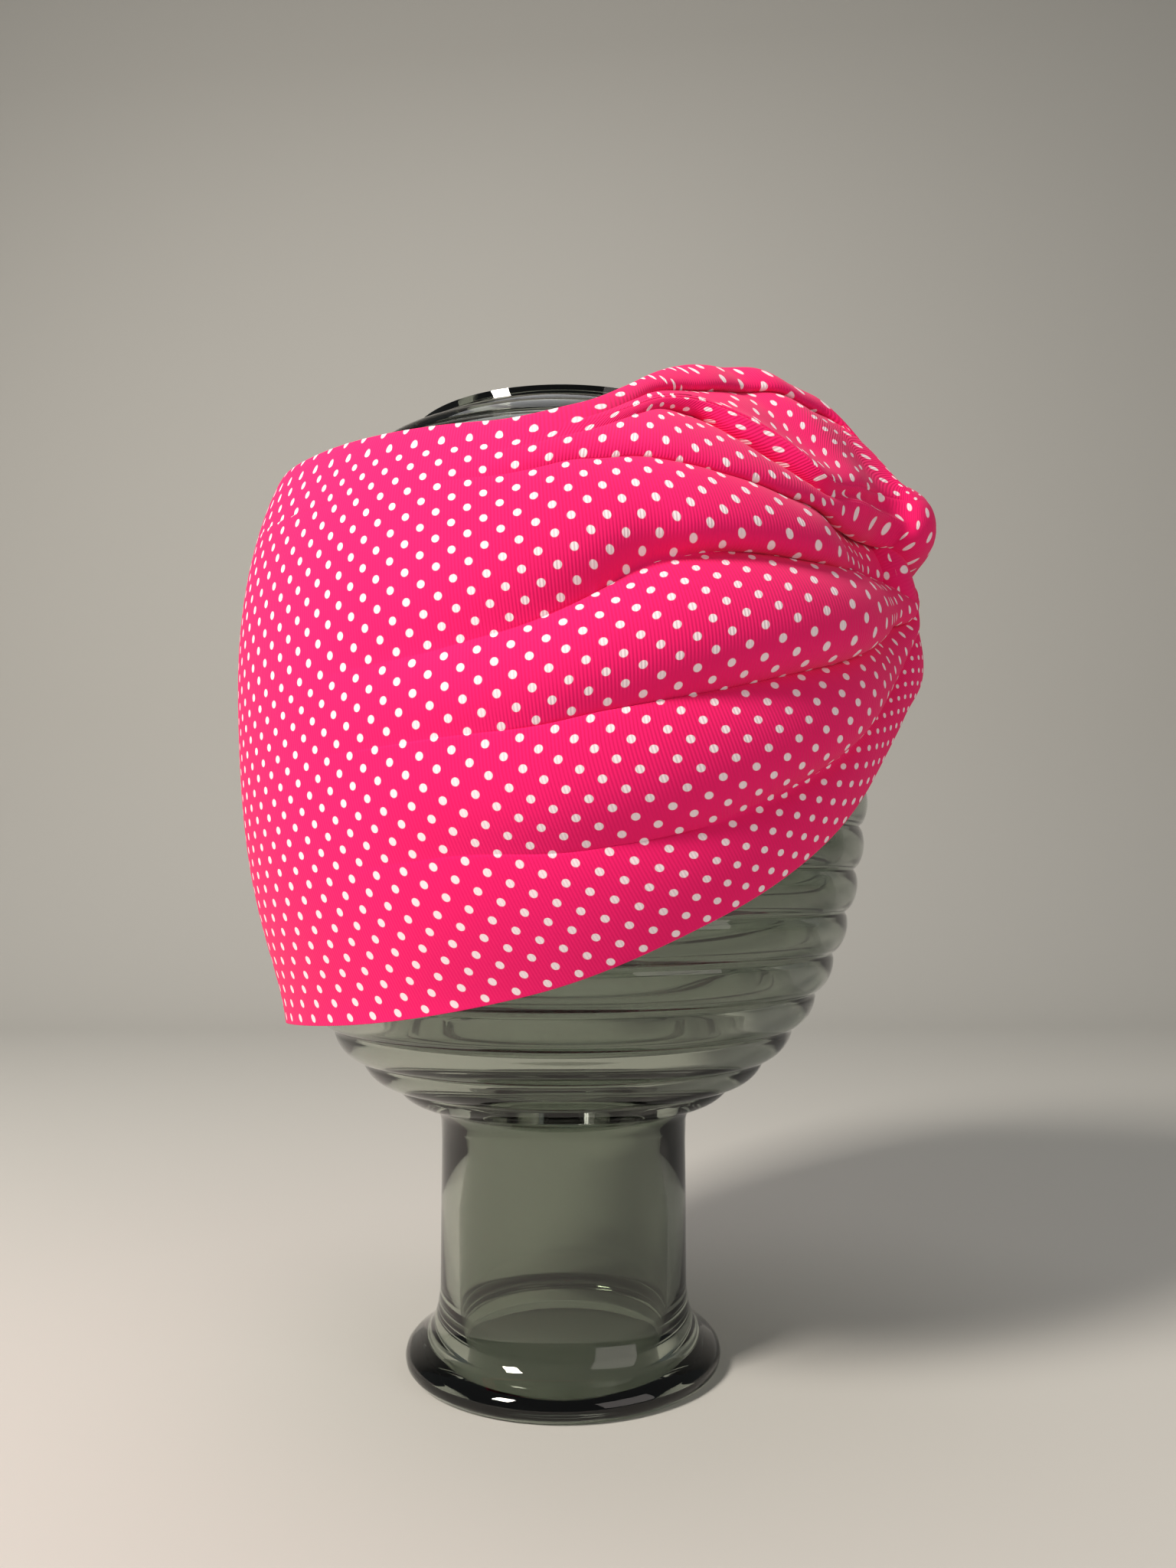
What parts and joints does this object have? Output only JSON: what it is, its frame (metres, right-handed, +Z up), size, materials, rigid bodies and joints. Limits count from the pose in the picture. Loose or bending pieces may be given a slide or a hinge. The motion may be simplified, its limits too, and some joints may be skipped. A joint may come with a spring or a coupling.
{
  "type": "wire headband on glass stand",
  "caption": "Wide twisted cloth headband with a small dot pattern, fitted over a ribbed globe glass vase that stands upside down on its mouth.",
  "frame": {"origin": "on the surface that the stand rests on, under the middle of the object's box; the globe's axis is 9 mm behind it, at y = 0.009", "axes": "+Z up along the globe's axis; -Y to the front, where the twist is; +Y to the back seam; -X to the side of the right wrap"},
  "size_m": [0.1864, 0.2015, 0.2684],
  "materials": {
    "cloth": "matte hot pink fine rib jersey with a pattern of small pale dots",
    "glass": "clear greenish grey moulded glass with stacked round ribs"
  },
  "bodies": {
    "root": {"right_wrap": "cloth", "left_wrap": "cloth", "glass_stand": "glass"}
  },
  "joints": []
}
